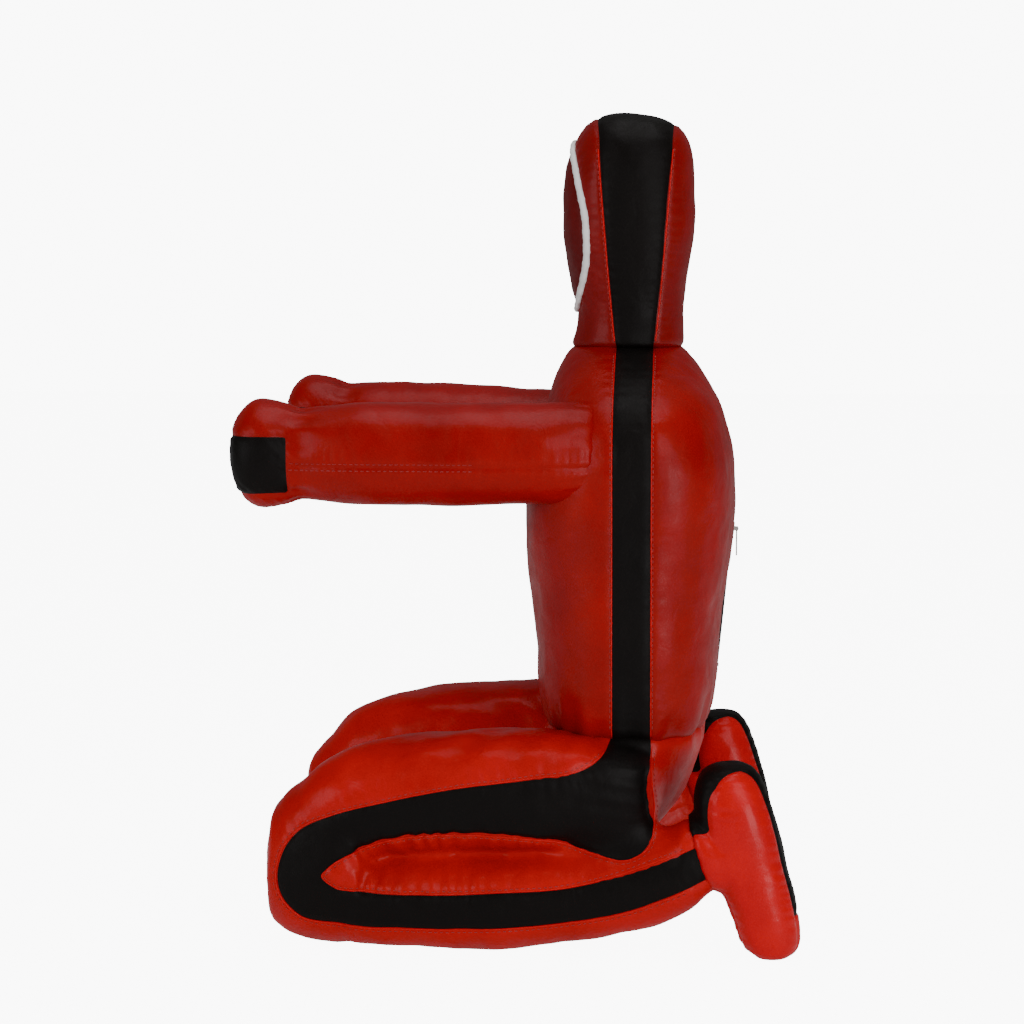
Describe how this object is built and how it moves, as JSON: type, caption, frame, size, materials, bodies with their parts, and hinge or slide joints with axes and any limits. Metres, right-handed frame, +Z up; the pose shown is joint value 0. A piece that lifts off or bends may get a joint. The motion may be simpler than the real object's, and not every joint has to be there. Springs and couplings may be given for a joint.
{
  "type": "grappling dummy",
  "caption": "Kneeling sewn-leather grappling dummy with bending neck, waist, shoulders and ankles and a zipped filling opening in its back.",
  "frame": {"origin": "on the floor under the middle of the figure", "axes": "+Z up, +Y out of the figure's back, so it faces -Y with its left arm and leg on +X"},
  "size_m": [0.48, 0.6849, 1.008],
  "materials": {
    "face_leather": "gloss",
    "head_leather": "gloss",
    "torso_leather": "gloss",
    "leg_leather": "gloss",
    "foot_leather": "gloss",
    "black_leather": "satin",
    "white_piping": "satin",
    "textile_filling": "matte",
    "zip_tape": "matte",
    "zip_teeth": "gloss",
    "zip_metal": "satin"
  },
  "bodies": {
    "legs": {"pelvis_fill": "textile_filling", "pelvis_front_panel": "leg_leather", "pelvis_seat_panel": "leg_leather", "left_leg_fill": "textile_filling", "left_leg_side_stripe": "black_leather", "left_leg_front_panel": "leg_leather", "left_leg_back_panel": "leg_leather", "right_leg_fill": "textile_filling", "right_leg_side_stripe": "black_leather", "right_leg_front_panel": "leg_leather", "right_leg_back_panel": "leg_leather"},
    "torso": {"torso_fill": "textile_filling", "torso_front_panel": "torso_leather", "torso_back_panel": "torso_leather", "torso_left_side_band": "black_leather", "torso_right_side_band": "black_leather", "back_zip_tape": "zip_tape", "back_zip_chain": "zip_teeth", "back_zip_top_stop": "zip_metal", "back_zip_bottom_stop": "zip_metal"},
    "head": {"head_fill": "textile_filling", "head_face_panel": "face_leather", "head_face_piping": "white_piping", "head_front_panel": "head_leather", "head_crown_band": "black_leather", "head_back_panel": "head_leather"},
    "zip_slider": {"back_zip_slider": "zip_metal", "back_zip_pin": "zip_metal"},
    "zip_pull": {"back_zip_pull": "zip_metal"},
    "left_shoulder": {"left_shoulder_fill": "textile_filling", "left_shoulder_cover": "torso_leather"},
    "left_arm": {"left_arm_fill": "textile_filling", "left_arm_upper_panel": "torso_leather", "left_arm_lower_panel": "torso_leather", "left_hand_patch": "black_leather"},
    "left_foot": {"left_foot_fill": "textile_filling", "left_foot_lateral_panel": "foot_leather", "left_foot_medial_panel": "foot_leather", "left_foot_sole_strip": "black_leather", "left_foot_instep_strip": "foot_leather"},
    "right_shoulder": {"right_shoulder_fill": "textile_filling", "right_shoulder_cover": "torso_leather"},
    "right_arm": {"right_arm_fill": "textile_filling", "right_arm_upper_panel": "torso_leather", "right_arm_lower_panel": "torso_leather", "right_hand_patch": "black_leather"},
    "right_foot": {"right_foot_fill": "textile_filling", "right_foot_lateral_panel": "foot_leather", "right_foot_medial_panel": "foot_leather", "right_foot_sole_strip": "black_leather", "right_foot_instep_strip": "foot_leather"}
  },
  "joints": [
    {"name": "waist_lean", "type": "hinge", "parent": "legs", "child": "torso", "pos_m": [0, 0.132, 0.25], "axis": [1, 0, 0], "range_deg": [-4, 4], "stiffness_Nm_per_rad": 600},
    {"name": "neck_nod", "type": "hinge", "parent": "torso", "child": "head", "pos_m": [0, 0.129, 0.721], "axis": [1, 0, 0], "range_deg": [-9, 9], "stiffness_Nm_per_rad": 60},
    {"name": "left_shoulder_lift", "type": "hinge", "parent": "torso", "child": "left_shoulder", "pos_m": [0.165, 0.042, 0.595], "axis": [1, 0, 0], "range_deg": [-25, 12], "stiffness_Nm_per_rad": 80},
    {"name": "left_shoulder_swing", "type": "hinge", "parent": "left_shoulder", "child": "left_arm", "pos_m": [0.165, 0.042, 0.595], "axis": [0, 0, 1], "range_deg": [-8, 22], "stiffness_Nm_per_rad": 40},
    {"name": "left_ankle_flex", "type": "hinge", "parent": "legs", "child": "left_foot", "pos_m": [0.19, 0.235, 0.118], "axis": [1, 0, 0], "range_deg": [-15, 2], "stiffness_Nm_per_rad": 40},
    {"name": "right_shoulder_lift", "type": "hinge", "parent": "torso", "child": "right_shoulder", "pos_m": [-0.165, 0.042, 0.595], "axis": [1, 0, 0], "range_deg": [-25, 12], "stiffness_Nm_per_rad": 80},
    {"name": "right_shoulder_swing", "type": "hinge", "parent": "right_shoulder", "child": "right_arm", "pos_m": [-0.165, 0.042, 0.595], "axis": [0, 0, 1], "range_deg": [-22, 8], "stiffness_Nm_per_rad": 40},
    {"name": "right_ankle_flex", "type": "hinge", "parent": "legs", "child": "right_foot", "pos_m": [-0.19, 0.235, 0.118], "axis": [1, 0, 0], "range_deg": [-15, 2], "stiffness_Nm_per_rad": 40},
    {"name": "back_zip_slide", "type": "slide", "parent": "torso", "child": "zip_slider", "axis": [0, -0.0994, -0.995], "range_m": [0, 0.158]},
    {"name": "zip_pull_swing", "type": "hinge", "parent": "zip_slider", "child": "zip_pull", "pos_m": [0, 0.26663, 0.49317], "axis": [1, 0, 0], "range_deg": [-4, 140]}
  ]
}
